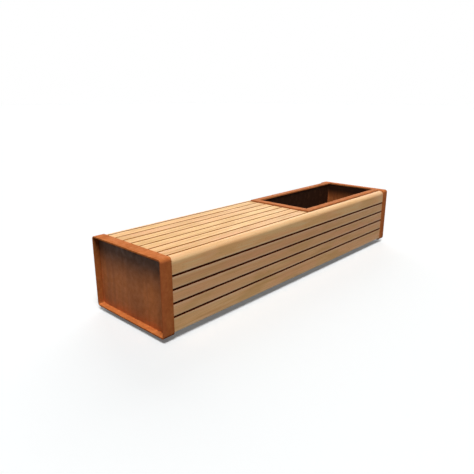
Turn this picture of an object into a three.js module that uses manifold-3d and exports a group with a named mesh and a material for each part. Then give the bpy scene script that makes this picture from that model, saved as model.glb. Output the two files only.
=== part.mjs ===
// A street bench with a planter: weathering steel end caps, hardwood boards and a lift-out planter box.
// Millimetres, +Z up. The origin is on the ground under the middle of the bench, +X runs along its length
// towards the planter, and the front boards face -Y.

import * as THREE from 'three';
import { mergeVertices } from 'three/addons/utils/BufferGeometryUtils.js';
import Module from 'manifold-3d';

const wasm = await Module();
wasm.setup();

// Overall
const benchLength = 2446;
const groundGap = 27;
const touchGap = 0.3;
const cutOverrun = 2;

// Hardwood boards
const slatCount = 7;
const slatWidth = 66;
const slatThickness = 40;
const boardGap = 10;
const boardThickness = 40;
const boardHeight = 65.5;
const boardCount = 3;
const lowBoardHeight = 81;
const cornerBoardHeight = 94;
const boardEdgeRadius = 1.5;
const boardCornerRadius = 30;
const woodLift = 19;

// End caps: a bent hoop round the wood's end, with a plate set back inside it
const hoopDepth = 70;
const hoopPlate = 10;
const hoopRadius = 20;
const hoopProud = 1.5;
const hoopRise = 4;
const panelRecess = 36;
const panelPlate = 4;

// Steel frame
const tubeSide = 40;
const tubeWall = 3;
const railLift = 4;
const angleLeg = 40;
const anglePlate = 5;
const endRibInset = 30;
const slatOverhang = 4;
const planterPostDrop = 18.5;

// Holes for the coach screws that hold the boards from inside
const screwHoleRadius = 4.4;
const pilotDepth = 26;
const lowScrewDrop = 15;
const cornerScrewRise = 30;

// Planter rim: a folded flange, upright strip only on the side of the far end cap
const planterLength = 1047;
const rimGap = 6;
const rimProud = 9.5;
const rimBand = 50;
const rimPlate = 4;
const rimOuterLip = 20;
const rimInnerLip = 12;
const rimStrip = 5;
const rimRunGap = 1;

// Planter trough
const troughWall = 3;
const troughSetback = 8;
const troughFlange = 20;
const bearerInset = 60;
const rubberThickness = 3;
const spoutRadius = 10;
const spoutBore = 8;
const spoutLength = 25;
const spoutSpreadShare = 0.5;

// Levelling feet
const footInset = 25;
const padRadius = 30;
const padFlangeHeight = 5;
const padHubRadius = 15;
const padHubHeight = 14;
const padSocketFloor = 6;
const stemRadius = 8;
const stemClearance = 0.5;
const stemReach = 22;
const collarRadius = 14;
const collarHeight = 10;

// Numbers of sides
const hoopCornerSteps = 12;
const boardCornerSteps = 3;
const screwHoleSides = 6;
const collarSides = 6;
const padSides = 24;
const stemSides = 12;
const spoutSides = 16;

// Worked out from the sizes above
const half = 1 / 2;
const woodWidth = slatCount * slatWidth + (slatCount + 1) * boardGap + 2 * boardThickness;
const benchWidth = woodWidth + 2 * hoopProud;
const boardPitch = boardHeight + boardGap;
const sideStackHeight = lowBoardHeight + boardCount * boardPitch + boardGap + cornerBoardHeight;
const hoopHeight = woodLift + sideStackHeight + hoopRise;
const hoopBottom = groundGap;
const hoopTop = hoopBottom + hoopHeight;
const woodBottom = hoopBottom + woodLift;
const woodTop = woodBottom + sideStackHeight;
const woodHalfLength = benchLength * half - hoopDepth - touchGap;
const frameHalfWidth = woodWidth * half - boardThickness - touchGap;
const slatPitch = slatWidth + boardGap;
const slatUnderside = woodTop - slatThickness;

const rimFarX = benchLength * half - hoopDepth - rimRunGap;
const rimNearX = rimFarX - planterLength;
const rimHalfWidth = woodWidth * half - boardThickness - rimGap;
const rimTop = woodTop + rimProud;
const openingNearX = rimNearX + rimBand;
const openingFarX = rimFarX - rimStrip;
const openingHalfWidth = rimHalfWidth - rimBand;
const slatEndX = rimNearX - rimGap;
const slatLength = slatEndX + woodHalfLength;

const railBottom = woodBottom + railLift;
const railTop = railBottom + tubeSide;
const railCentreY = frameHalfWidth - tubeSide * half;
const railHalfLength = benchLength * half - panelRecess - panelPlate - touchGap;
const topBarTop = slatUnderside - touchGap;
const topBarOffset = anglePlate + touchGap;

const troughFarX = rimFarX;
const troughNearX = openingNearX - troughSetback;
const troughHalfWidth = openingHalfWidth + troughSetback;
const troughBottom = railTop + rubberThickness + 2 * touchGap;
const troughTop = rimTop - rimPlate - touchGap;

// Where the ribs, the bars and the feet stand along the bench
const nearRibX = -woodHalfLength + endRibInset;
const planterRibX = slatEndX - slatOverhang - angleLeg * half - topBarOffset;
const farRibX = woodHalfLength - endRibInset;
const benchRibXs = [nearRibX, (nearRibX + planterRibX) * half, planterRibX];
const planterRibXs = [(planterRibX + farRibX) * half, farRibX];
const ribXs = [...benchRibXs, ...planterRibXs];
const bearerXs = [troughNearX - troughWall + bearerInset, ...planterRibXs];
const crossBarXs = [...benchRibXs.slice(0, -1), ...bearerXs];
const footXs = [nearRibX, bearerXs[0], farRibX];

// Materials, a fresh one for each mesh
function finish(color, roughness, metalness) {
  return () => new THREE.MeshStandardMaterial({ color, roughness, metalness });
}

const weatheringSteel = finish(0x9c5a33, 0.85, 0.25);
const hardwood = finish(0xcda06e, 0.6, 0);
const galvanisedSteel = finish(0x9aa0a3, 0.45, 0.8);
const darkCoatedSteel = finish(0x241a15, 0.7, 0.2);
const blackRubber = finish(0x1c1c1d, 0.9, 0);

const bench = new THREE.Group();

function addPiece(name, geometry, material, x = 0, y = 0, z = 0) {
  const mesh = new THREE.Mesh(geometry, material());
  mesh.name = name;
  mesh.position.set(x, y, z);
  bench.add(mesh);
  return mesh;
}

// Solids that are joined and cut
function toSolid(geometry) {
  const bare = geometry.clone();
  bare.deleteAttribute('normal');
  bare.deleteAttribute('uv');
  const merged = mergeVertices(bare);
  const vertProperties = new Float32Array(merged.attributes.position.array);
  const triVerts = new Uint32Array(merged.index.array);
  return new wasm.Manifold(new wasm.Mesh({ numProp: 3, vertProperties, triVerts }));
}

function toGeometry(solid) {
  const mesh = solid.getMesh();
  const geometry = new THREE.BufferGeometry();
  geometry.setAttribute('position', new THREE.BufferAttribute(mesh.vertProperties, 3));
  geometry.setIndex(new THREE.BufferAttribute(mesh.triVerts, 1));
  geometry.computeVertexNormals();
  return geometry;
}

function joinAll(geometries) {
  return geometries.map(toSolid).reduce((whole, next) => whole.add(next));
}

function cutAll(solid, geometries) {
  return geometries.map(toSolid).reduce((whole, next) => whole.subtract(next), solid);
}

// A box between two corners
function boxBetween([x0, y0, z0], [x1, y1, z1]) {
  const geometry = new THREE.BoxGeometry(x1 - x0, y1 - y0, z1 - z0);
  return geometry.translate((x0 + x1) * half, (y0 + y1) * half, (z0 + z1) * half);
}

// An outline drawn in Y and Z, run along X from zero
function runAlongX(shape, length, curveSegments) {
  const geometry = new THREE.ExtrudeGeometry(shape, { depth: length, bevelEnabled: false, curveSegments });
  const yAxis = new THREE.Vector3(0, 1, 0);
  const zAxis = new THREE.Vector3(0, 0, 1);
  const xAxis = new THREE.Vector3(1, 0, 0);
  return geometry.applyMatrix4(new THREE.Matrix4().makeBasis(yAxis, zAxis, xAxis));
}

// An outline drawn in Z and X, run along Y from zero
function runAlongY(shape, length, curveSegments) {
  const geometry = new THREE.ExtrudeGeometry(shape, { depth: length, bevelEnabled: false, curveSegments });
  const zAxis = new THREE.Vector3(0, 0, 1);
  const xAxis = new THREE.Vector3(1, 0, 0);
  const yAxis = new THREE.Vector3(0, 1, 0);
  return geometry.applyMatrix4(new THREE.Matrix4().makeBasis(zAxis, xAxis, yAxis));
}

// A rectangle whose corners have their own radii, in turn from the low corner, anticlockwise
function roundedOutline(Outline, u0, v0, u1, v1, [r00, r10, r11, r01]) {
  const outline = new Outline();
  const quarter = Math.PI * half;
  outline.moveTo(u0 + r00, v0);
  outline.lineTo(u1 - r10, v0);
  outline.absarc(u1 - r10, v0 + r10, r10, -quarter, 0, false);
  outline.lineTo(u1, v1 - r11);
  outline.absarc(u1 - r11, v1 - r11, r11, 0, quarter, false);
  outline.lineTo(u0 + r01, v1);
  outline.absarc(u0 + r01, v1 - r01, r01, quarter, 2 * quarter, false);
  outline.lineTo(u0, v0 + r00);
  outline.absarc(u0 + r00, v0 + r00, r00, 2 * quarter, 3 * quarter, false);
  return outline;
}

const fourAlike = (radius) => [radius, radius, radius, radius];

// A square tube's outline about its middle, with its bore
function tubeOutline() {
  const outer = tubeSide * half;
  const inner = outer - tubeWall;
  const corners = (reach) => [[-reach, -reach], [reach, -reach], [reach, reach], [-reach, reach]];
  const toPoints = (list) => list.map(([u, v]) => new THREE.Vector2(u, v));
  const shape = new THREE.Shape(toPoints(corners(outer)));
  shape.holes.push(new THREE.Path(toPoints(corners(inner))));
  return shape;
}

// A round bar about an axis, with its middle at the given place
function roundBar(radius, length, sides, axis, x, y, z) {
  const geometry = new THREE.CylinderGeometry(radius, radius, length, sides);
  if (axis === 'z') geometry.rotateX(Math.PI * half);
  return geometry.translate(x, y, z);
}

// A turned piece on the Z axis from its outline of [radius, height] points
function turned(points, sides) {
  const outline = points.map(([radius, height]) => new THREE.Vector2(radius, height));
  return new THREE.LatheGeometry(outline, sides).rotateX(Math.PI * half);
}

// End caps

function makeHoop() {
  const halfWidth = benchWidth * half;
  const shape = roundedOutline(THREE.Shape, -halfWidth, 0, halfWidth, hoopHeight, fourAlike(hoopRadius));
  const innerWidth = halfWidth - hoopPlate;
  const innerTop = hoopHeight - hoopPlate;
  const innerRadii = fourAlike(hoopRadius - hoopPlate);
  shape.holes.push(roundedOutline(THREE.Path, -innerWidth, hoopPlate, innerWidth, innerTop, innerRadii));
  return runAlongX(shape, hoopDepth, hoopCornerSteps);
}

function makePanel() {
  const edge = hoopPlate + touchGap;
  const halfWidth = benchWidth * half - edge;
  const radii = fourAlike(hoopRadius - edge);
  const shape = roundedOutline(THREE.Shape, -halfWidth, edge, halfWidth, hoopHeight - edge, radii);
  return runAlongX(shape, panelPlate, hoopCornerSteps);
}

const hoopGeometry = makeHoop();
const panelGeometry = makePanel();
addPiece('near_end_hoop', hoopGeometry, weatheringSteel, -benchLength * half, 0, hoopBottom);
addPiece('far_end_hoop', hoopGeometry, weatheringSteel, benchLength * half - hoopDepth, 0, hoopBottom);
const nearPanelX = -benchLength * half + panelRecess;
addPiece('near_end_panel', panelGeometry, weatheringSteel, nearPanelX, 0, hoopBottom);
const farPanelX = benchLength * half - panelRecess - panelPlate;
addPiece('far_end_panel', panelGeometry, weatheringSteel, farPanelX, 0, hoopBottom);

// A blind hole in a board's inner face, for a screw that comes from the frame, along Y
const sidePilot = (x, z, side) => {
  const middle = frameHalfWidth + touchGap + (pilotDepth - cutOverrun) * half;
  return roundBar(screwHoleRadius, pilotDepth + cutOverrun, screwHoleSides, 'y', x, side * middle, z);
};

// Side boards, from the bottom up: [name, lower edge, height, screw's height]
function sideBoardRows() {
  const rows = [['low_board', woodBottom, lowBoardHeight, woodBottom + lowBoardHeight - lowScrewDrop]];
  const firstBoard = woodBottom + lowBoardHeight + boardGap;
  for (let k = 0; k < boardCount; k += 1) {
    const lower = firstBoard + k * boardPitch;
    rows.push([`side_board_${k + 1}`, lower, boardHeight, lower + boardHeight * half]);
  }
  const cornerLower = woodTop - cornerBoardHeight;
  rows.push(['corner_board', cornerLower, cornerBoardHeight, cornerLower + cornerScrewRise]);
  return rows;
}

const sideRows = sideBoardRows();
const postScrewX = anglePlate * half;
const sideScrewXs = ribXs.map((x) => x + postScrewX);

function makeSideBoard(side, lower, height, screwZ, isCorner) {
  const outer = side * woodWidth * half;
  const inner = outer - side * boardThickness;
  const radii = fourAlike(boardEdgeRadius);
  if (isCorner && side > 0) radii[2] = boardCornerRadius;
  if (isCorner && side < 0) radii[3] = boardCornerRadius;
  const low = Math.min(outer, inner);
  const high = Math.max(outer, inner);
  const shape = roundedOutline(THREE.Shape, low, lower, high, lower + height, radii);
  const steps = isCorner ? hoopCornerSteps : boardCornerSteps;
  const board = runAlongX(shape, 2 * woodHalfLength, steps).translate(-woodHalfLength, 0, 0);
  const pilots = sideScrewXs.map((x) => sidePilot(x, screwZ, side));
  return toGeometry(cutAll(toSolid(board), pilots));
}

for (const [sideName, side] of [['front', -1], ['back', 1]]) {
  for (const [rowName, lower, height, screwZ] of sideRows) {
    const geometry = makeSideBoard(side, lower, height, screwZ, rowName === 'corner_board');
    addPiece(`${sideName}_${rowName}`, geometry, hardwood);
  }
}

// Top slats, one shape for all, from the near hoop to the planter rim
const barScrewX = topBarOffset + anglePlate * half;
const slatScrewXs = benchRibXs.map((x) => x + barScrewX);

function makeSlat() {
  const halfWidth = slatWidth * half;
  const radii = fourAlike(boardEdgeRadius);
  const shape = roundedOutline(THREE.Shape, -halfWidth, 0, halfWidth, slatThickness, radii);
  const slat = runAlongX(shape, slatLength, boardCornerSteps).translate(-woodHalfLength, 0, 0);
  const middle = (pilotDepth - cutOverrun) * half;
  const pilots = slatScrewXs.map((x) => {
    return roundBar(screwHoleRadius, pilotDepth + cutOverrun, screwHoleSides, 'z', x, 0, middle);
  });
  return toGeometry(cutAll(toSolid(slat), pilots));
}

const slatGeometry = makeSlat();
const firstSlatY = -(slatCount - 1) * slatPitch * half;
const slatYs = Array.from({ length: slatCount }, (_, k) => firstSlatY + k * slatPitch);
slatYs.forEach((y, k) => addPiece(`top_slat_${k + 1}`, slatGeometry, hardwood, 0, y, slatUnderside));

// Base rails, from one end plate to the other
const railGeometry = runAlongX(tubeOutline(), 2 * railHalfLength, 1).translate(-railHalfLength, 0, 0);
const railCentreZ = railBottom + tubeSide * half;
addPiece('front_rail', railGeometry, galvanisedSteel, 0, -railCentreY, railCentreZ);
addPiece('back_rail', railGeometry, galvanisedSteel, 0, railCentreY, railCentreZ);

// Cross bars between the rails, some with a hole over each foot for its stem
const crossBarHalf = railCentreY - tubeSide * half - touchGap;
const footY = crossBarHalf - footInset;
const stemHoleRadius = stemRadius + stemClearance;

function makeCrossBar(holeYs) {
  const bar = runAlongY(tubeOutline(), 2 * crossBarHalf, 1).translate(0, -crossBarHalf, 0);
  const wallMiddle = (tubeWall - tubeSide) * half;
  const holes = holeYs.map((y) => {
    return roundBar(stemHoleRadius, tubeWall + cutOverrun, stemSides, 'z', 0, y, wallMiddle);
  });
  return toGeometry(cutAll(toSolid(bar), holes));
}

const plainBar = makeCrossBar([]);
const footBar = makeCrossBar([-footY, footY]);
crossBarXs.forEach((x, k) => {
  const geometry = footXs.includes(x) ? footBar : plainBar;
  addPiece(`cross_bar_${k + 1}`, geometry, galvanisedSteel, x, 0, railCentreZ);
});

// Posts of angle steel on the rails: one leg lies on the boards, the other points inwards
const postBottom = railTop + touchGap;
const benchPostTop = topBarTop;
const planterPostTop = woodTop - planterPostDrop;

function makePost(side, top) {
  const outerY = side * frameHalfWidth;
  const plateY = outerY - side * anglePlate;
  const tipY = outerY - side * angleLeg;
  const span = (a, b) => [Math.min(a, b), Math.max(a, b)];
  const [boardLow, boardHigh] = span(outerY, plateY);
  const [legLow, legHigh] = span(outerY, tipY);
  const low = -angleLeg * half;
  const boardLeg = boxBetween([low, boardLow, postBottom], [low + angleLeg, boardHigh, top]);
  const inwardLeg = boxBetween([low, legLow, postBottom], [low + anglePlate, legHigh, top]);
  const holeLength = anglePlate + cutOverrun;
  const holeY = (outerY + plateY) * half;
  const holes = sideRows.map(([, , , z]) => {
    return roundBar(screwHoleRadius, holeLength, screwHoleSides, 'y', postScrewX, holeY, z);
  });
  return toGeometry(cutAll(joinAll([boardLeg, inwardLeg]), holes));
}

for (const [sideName, side] of [['front', -1], ['back', 1]]) {
  const benchPost = makePost(side, benchPostTop);
  const planterPost = makePost(side, planterPostTop);
  ribXs.forEach((x, k) => {
    const geometry = k < benchRibXs.length ? benchPost : planterPost;
    addPiece(`${sideName}_post_${k + 1}`, geometry, galvanisedSteel, x);
  });
}

// Top bars of angle steel, lapped on the posts' inward legs, under the slats
function makeTopBar() {
  const halfLength = frameHalfWidth - anglePlate - touchGap;
  const low = -angleLeg * half + topBarOffset;
  const plateLow = topBarTop - anglePlate;
  const legLow = topBarTop - angleLeg;
  const flat = boxBetween([low, -halfLength, plateLow], [low + angleLeg, halfLength, topBarTop]);
  const upright = boxBetween([low, -halfLength, legLow], [low + anglePlate, halfLength, topBarTop]);
  const holeLength = anglePlate + cutOverrun;
  const holeZ = (plateLow + topBarTop) * half;
  const holes = slatYs.map((y) => {
    return roundBar(screwHoleRadius, holeLength, screwHoleSides, 'z', barScrewX, y, holeZ);
  });
  return toGeometry(cutAll(joinAll([flat, upright]), holes));
}

const topBarGeometry = makeTopBar();
benchRibXs.forEach((x, k) => addPiece(`top_bar_${k + 1}`, topBarGeometry, galvanisedSteel, x));

// Planter rim
function makeRim() {
  const outerLow = rimTop - rimOuterLip;
  const innerLow = rimTop - rimInnerLip;
  const slab = ([x0, x1, y], z0, z1) => boxBetween([x0, -y, z0], [x1, y, z1]);
  const outside = [rimNearX, rimFarX, rimHalfWidth];
  const insideOuterLip = [rimNearX + rimPlate, rimFarX + cutOverrun, rimHalfWidth - rimPlate];
  const aroundOpening = [openingNearX - rimPlate, rimFarX, openingHalfWidth + rimPlate];
  const opening = [openingNearX, openingFarX, openingHalfWidth];
  const outerBlock = toSolid(slab(outside, outerLow, rimTop));
  const outerLip = cutAll(outerBlock, [slab(insideOuterLip, outerLow - cutOverrun, rimTop + cutOverrun)]);
  const band = toSolid(slab(outside, rimTop - rimPlate, rimTop));
  const innerRing = toSolid(slab(aroundOpening, innerLow, rimTop));
  const openingCut = slab(opening, innerLow - cutOverrun, rimTop + cutOverrun);
  return toGeometry(cutAll(band.add(innerRing).add(outerLip), [openingCut]));
}

addPiece('planter_rim', makeRim(), weatheringSteel);

// Planter trough: floor with drain spouts, four walls and a flange on three sides under the rim
const stripLow = rimTop - rimInnerLip - touchGap;
const spoutXs = bearerXs.slice(1).map((x, k) => (x + bearerXs[k]) * half);
const spoutYs = [-1, 1].map((side) => side * troughHalfWidth * spoutSpreadShare);
const spoutPlaces = spoutXs.flatMap((x) => spoutYs.map((y) => [x, y]));

function makeTrough() {
  const inner = troughHalfWidth;
  const outer = troughHalfWidth + troughWall;
  const near = troughNearX - troughWall;
  const far = troughFarX;
  const floorTop = troughBottom + troughWall;
  const flangeLow = troughTop - troughWall;
  const flangeReach = outer + troughFlange;
  const pieces = [
    boxBetween([near, -outer, troughBottom], [far, outer, floorTop]),
    boxBetween([near, -outer, troughBottom], [troughNearX, outer, troughTop]),
    boxBetween([far - troughWall, -outer, troughBottom], [far, outer, stripLow]),
    boxBetween([near, -outer, troughBottom], [far, -inner, troughTop]),
    boxBetween([near, inner, troughBottom], [far, outer, troughTop]),
    boxBetween([near - troughFlange, -flangeReach, flangeLow], [far, -inner, troughTop]),
    boxBetween([near - troughFlange, inner, flangeLow], [far, flangeReach, troughTop]),
    boxBetween([near - troughFlange, -flangeReach, flangeLow], [troughNearX, flangeReach, troughTop]),
  ];
  const spoutLow = troughBottom - spoutLength;
  const spoutBars = (radius, low, high) => spoutPlaces.map(([x, y]) => {
    return roundBar(radius, high - low, spoutSides, 'z', x, y, (low + high) * half);
  });
  const spouts = spoutBars(spoutRadius, spoutLow, floorTop - troughWall * half);
  const bores = spoutBars(spoutBore, spoutLow - cutOverrun, floorTop + cutOverrun);
  return toGeometry(cutAll(joinAll([...pieces, ...spouts]), bores));
}

addPiece('planter_trough', makeTrough(), darkCoatedSteel);

// Rubber strips between the trough and its cross bars
const stripHalf = Math.min(crossBarHalf, troughHalfWidth);
const stripReach = tubeSide * half;
const stripBox = boxBetween([-stripReach, -stripHalf, 0], [stripReach, stripHalf, rubberThickness]);
const stripZ = railTop + touchGap;
bearerXs.forEach((x, k) => addPiece(`rubber_strip_${k + 1}`, stripBox, blackRubber, x, 0, stripZ));

// Levelling feet, under the ends of three cross bars
const footPlaces = footXs.flatMap((x) => [[x, -footY], [x, footY]]);
const padGeometry = turned([
  [0, 0],
  [padRadius, 0],
  [padRadius, padFlangeHeight],
  [padHubRadius, padFlangeHeight],
  [padHubRadius, padHubHeight],
  [stemHoleRadius, padHubHeight],
  [stemHoleRadius, padSocketFloor],
  [0, padSocketFloor],
], padSides);
footPlaces.forEach(([x, y], k) => addPiece(`foot_pad_${k + 1}`, padGeometry, blackRubber, x, y, 0));

const stemBottom = padSocketFloor + touchGap;
const stemTop = railBottom + stemReach;
const stemLength = stemTop - stemBottom;
const stemBar = roundBar(stemRadius, stemLength, stemSides, 'z', 0, 0, stemBottom + stemLength * half);
const collarZ = railBottom - touchGap - collarHeight * half;
const collar = roundBar(collarRadius, collarHeight, collarSides, 'z', 0, 0, collarZ);
const stemGeometry = toGeometry(joinAll([stemBar, collar]));
footPlaces.forEach(([x, y], k) => addPiece(`foot_stem_${k + 1}`, stemGeometry, galvanisedSteel, x, y, 0));

export default bench;
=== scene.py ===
# A street bench with a planter set into it: weathering steel end caps, hardwood boards, a hidden steel
# frame on levelling feet, and a lift-out planter box. Metres, Z up, the planter's end towards +X.

import math
import random

import bpy
from mathutils import Matrix, Vector


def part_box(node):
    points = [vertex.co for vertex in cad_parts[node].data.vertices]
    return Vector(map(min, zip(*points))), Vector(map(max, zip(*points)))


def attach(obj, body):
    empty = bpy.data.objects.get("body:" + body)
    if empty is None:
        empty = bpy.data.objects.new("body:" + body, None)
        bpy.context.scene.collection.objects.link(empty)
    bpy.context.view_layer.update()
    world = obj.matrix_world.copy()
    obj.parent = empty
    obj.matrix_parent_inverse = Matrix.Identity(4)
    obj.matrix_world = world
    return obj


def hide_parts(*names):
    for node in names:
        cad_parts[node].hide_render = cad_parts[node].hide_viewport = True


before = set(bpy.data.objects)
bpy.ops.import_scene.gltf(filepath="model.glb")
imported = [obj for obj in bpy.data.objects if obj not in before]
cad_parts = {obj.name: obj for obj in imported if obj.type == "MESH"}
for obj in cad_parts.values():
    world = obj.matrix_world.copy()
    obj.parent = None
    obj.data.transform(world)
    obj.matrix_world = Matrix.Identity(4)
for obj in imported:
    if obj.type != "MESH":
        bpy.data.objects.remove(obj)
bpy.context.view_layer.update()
scene = bpy.context.scene
print("frame loaded:", len(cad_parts), "nodes")


# Outlines and meshes

def roundedOutline(low, high, radii, steps):
    # a rectangle with its own radius at each corner, anticlockwise from the low one: (point, normal) pairs
    (u0, v0), (u1, v1) = low, high
    centres = [
        (u0 + radii[0], v0 + radii[0], 180),
        (u1 - radii[1], v0 + radii[1], 270),
        (u1 - radii[2], v1 - radii[2], 0),
        (u0 + radii[3], v1 - radii[3], 90),
    ]
    outline = []
    for (cu, cv, start), radius in zip(centres, radii):
        for step in range(steps + 1):
            angle = math.radians(start + 90 * step / steps)
            normal = (math.cos(angle), math.sin(angle))
            outline.append(((cu + radius * normal[0], cv + radius * normal[1]), normal))
    return outline


def roundedEnds(start, end, rounding, steps=3):
    # (place along the bar, inset of the outline) for each ring of a bar with rounded ends
    rings = []
    for step in range(steps + 1):
        angle = math.radians(90 * step / steps)
        rings.append((rounding * (1 - math.sin(angle)), rounding * (1 - math.cos(angle))))
    starts = [(start + along, inset) for inset, along in rings]
    ends = [(end - along, inset) for inset, along in reversed(rings)]
    return starts + ends


def ringFaces(ringCount, ringSize, closedAlong=False):
    faces = []
    for ring in range(ringCount if closedAlong else ringCount - 1):
        following = (ring + 1) % ringCount
        for k in range(ringSize):
            after = (k + 1) % ringSize
            faces.append((ring * ringSize + k, ring * ringSize + after,
                          following * ringSize + after, following * ringSize + k))
    return faces


def cappedFaces(ringCount, ringSize):
    # the sides and the two flat ends of a solid bar
    faces = ringFaces(ringCount, ringSize)
    faces.append(tuple(range(ringSize))[::-1])
    faces.append(tuple(range((ringCount - 1) * ringSize, ringCount * ringSize)))
    return faces


def circleOutline(radius, sides):
    outline = []
    for k in range(sides):
        angle = 2 * math.pi * k / sides
        normal = (math.cos(angle), math.sin(angle))
        outline.append(((radius * normal[0], radius * normal[1]), normal))
    return outline


def alongAxis(axis, along, u, v):
    if axis == "x":
        return (along, u, v)
    if axis == "y":
        return (v, along, u)
    return (u, v, along)


def smoothMesh(name, points, faces, sharpAngle=35):
    mesh = bpy.data.meshes.new(name)
    mesh.from_pydata([tuple(point) for point in points], [], faces)
    mesh.validate()
    mesh.shade_smooth()
    mesh.set_sharp_from_angle(angle=math.radians(sharpAngle))
    return mesh


def outwardMesh(name, points, faces, sharpAngle=35):
    # the faces' turn depends on the axis, so the enclosed volume says which way they look
    volume = 0.0
    for face in faces:
        first = Vector(points[face[0]])
        for k in range(1, len(face) - 1):
            volume += first.dot(Vector(points[face[k]]).cross(Vector(points[face[k + 1]])))
    if volume < 0:
        faces = [tuple(reversed(face)) for face in faces]
    return smoothMesh(name, points, faces, sharpAngle)


def barMesh(name, outline, rings, axis="x"):
    # a solid bar: the outline, drawn across the axis, run through the rings
    points = []
    for along, inset in rings:
        for (u, v), (nu, nv) in outline:
            points.append(alongAxis(axis, along, u - nu * inset, v - nv * inset))
    return outwardMesh(name, points, cappedFaces(len(rings), len(outline)))


def tubeMesh(name, outer, inner, start, end, axis):
    # an open-ended tube whose two outlines have as many points each
    points = []
    for outline, along in ((outer, start), (outer, end), (inner, end), (inner, start)):
        for (u, v), _ in outline:
            points.append(alongAxis(axis, along, u, v))
    return outwardMesh(name, points, ringFaces(4, len(outer), closedAlong=True))


def turnedMesh(name, profile, sides, centre):
    # a solid turned about Z from (radius, height) points, from the axis to the axis
    points = []
    inner = profile[1:-1]
    for radius, height in inner:
        points += [(centre[0] + u, centre[1] + v, centre[2] + height)
                   for (u, v), _ in circleOutline(radius, sides)]
    faces = ringFaces(len(inner), sides)
    for (_, height), ring in ((profile[0], 0), (profile[-1], len(inner) - 1)):
        points.append((centre[0], centre[1], centre[2] + height))
        tip = len(points) - 1
        for k in range(sides):
            a, b = ring * sides + k, ring * sides + (k + 1) % sides
            faces.append((tip, b, a) if ring == 0 else (tip, a, b))
    return outwardMesh(name, points, faces)


def movedBar(name, outline, centre, rings, axis):
    # a bar run along the axis and then moved to its centre
    mesh = barMesh(name, outline, rings, axis)
    mesh.transform(Matrix.Translation(centre))
    return mesh


def joinMeshes(name, meshes):
    points, faces = [], []
    for mesh in meshes:
        start = len(points)
        points += [vertex.co.copy() for vertex in mesh.vertices]
        faces += [tuple(start + index for index in polygon.vertices) for polygon in mesh.polygons]
        bpy.data.meshes.remove(mesh)
    return smoothMesh(name, points, faces, sharpAngle=30)


def markPoints(mesh, name, values, kind="FLOAT"):
    field = "vector" if kind == "FLOAT_VECTOR" else "value"
    mesh.attributes.new(name, kind, "POINT").data.foreach_set(field, values)


def addPiece(name, mesh, material, body, replaced=()):
    piece = bpy.data.objects.new(name, mesh)
    scene.collection.objects.link(piece)
    for entry in material if isinstance(material, (list, tuple)) else [material]:
        piece.data.materials.append(entry)
    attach(piece, body)
    if replaced:
        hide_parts(*replaced)
    return piece


def softenEdges(piece, width, segments=2, angle=40):
    bevel = piece.modifiers.new("softenedEdges", "BEVEL")
    bevel.width = width
    bevel.segments = segments
    bevel.limit_method = "ANGLE"
    bevel.angle_limit = math.radians(angle)
    bevel.harden_normals = True


def dress(nodeName, material, edge):
    # a frame piece whose shape is right keeps its mesh and takes a better material and softened edges
    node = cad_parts[nodeName]
    node.data.materials.clear()
    node.data.materials.append(material)
    softenEdges(node, edge)


# Material graphs

def newMaterial(name):
    material = bpy.data.materials.new(name)
    material.use_nodes = True
    material.node_tree.nodes.clear()
    return material


def graphOf(material):
    tree = material.node_tree

    def add(kind, inputs=None, **settings):
        node = tree.nodes.new(kind)
        for key, value in settings.items():
            setattr(node, key, value)
        for key, value in (inputs or {}).items():
            if isinstance(value, bpy.types.NodeSocket):
                tree.links.new(value, node.inputs[key])
            else:
                node.inputs[key].default_value = value
        return node

    return add


def opaque(colour):
    return (*colour, 1.0)


def mathNode(add, operation, first, second=0.0):
    return add("ShaderNodeMath", {0: first, 1: second}, operation=operation).outputs[0]


def blendColour(add, factor, first, second, how="MIX"):
    return add("ShaderNodeMix", {0: factor, 6: first, 7: second}, data_type="RGBA", blend_type=how,
               clamp_factor=True, clamp_result=True).outputs[2]


def remap(add, value, fromLow, fromHigh, toLow=0.0, toHigh=1.0):
    return add("ShaderNodeMapRange", {0: value, 1: fromLow, 2: fromHigh, 3: toLow, 4: toHigh},
               interpolation_type="SMOOTHSTEP").outputs[0]


def stretched(add, coords, factors):
    return add("ShaderNodeVectorMath", {0: coords, 1: factors}, operation="MULTIPLY").outputs[0]


def noiseOf(add, coords, scale, detail=3.0, roughness=0.5):
    return add("ShaderNodeTexNoise", {"Vector": coords, "Scale": scale, "Detail": detail,
                                      "Roughness": roughness}).outputs["Fac"]


def scaledColour(add, colour, factor):
    grey = add("ShaderNodeCombineColor", {0: factor, 1: factor, 2: factor}).outputs[0]
    return blendColour(add, 1.0, colour, grey, "MULTIPLY")


def colourRamp(add, factor, stops):
    node = add("ShaderNodeValToRGB", {"Fac": factor})
    ramp = node.color_ramp
    ramp.elements[0].position = stops[0][0]
    ramp.elements[0].color = opaque(stops[0][1])
    ramp.elements[1].position = stops[-1][0]
    ramp.elements[1].color = opaque(stops[-1][1])
    for place, colour in stops[1:-1]:
        ramp.elements.new(place).color = opaque(colour)
    return node.outputs["Color"]


def bumpOf(add, height, strength, distance):
    return add("ShaderNodeBump", {"Height": height, "Strength": strength, "Distance": distance}).outputs[0]


def finishShader(add, colour, roughness, normal, metallic=0.0, specular=0.5):
    shader = add("ShaderNodeBsdfPrincipled", {"Base Color": colour, "Roughness": roughness,
                                              "Normal": normal, "Metallic": metallic,
                                              "Specular IOR Level": specular})
    add("ShaderNodeOutputMaterial", {"Surface": shader.outputs[0]})


# Weathering steel: one rust for the hoops, and others for the rim, and for the panels and flanks, which carry
# painted shade

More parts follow.
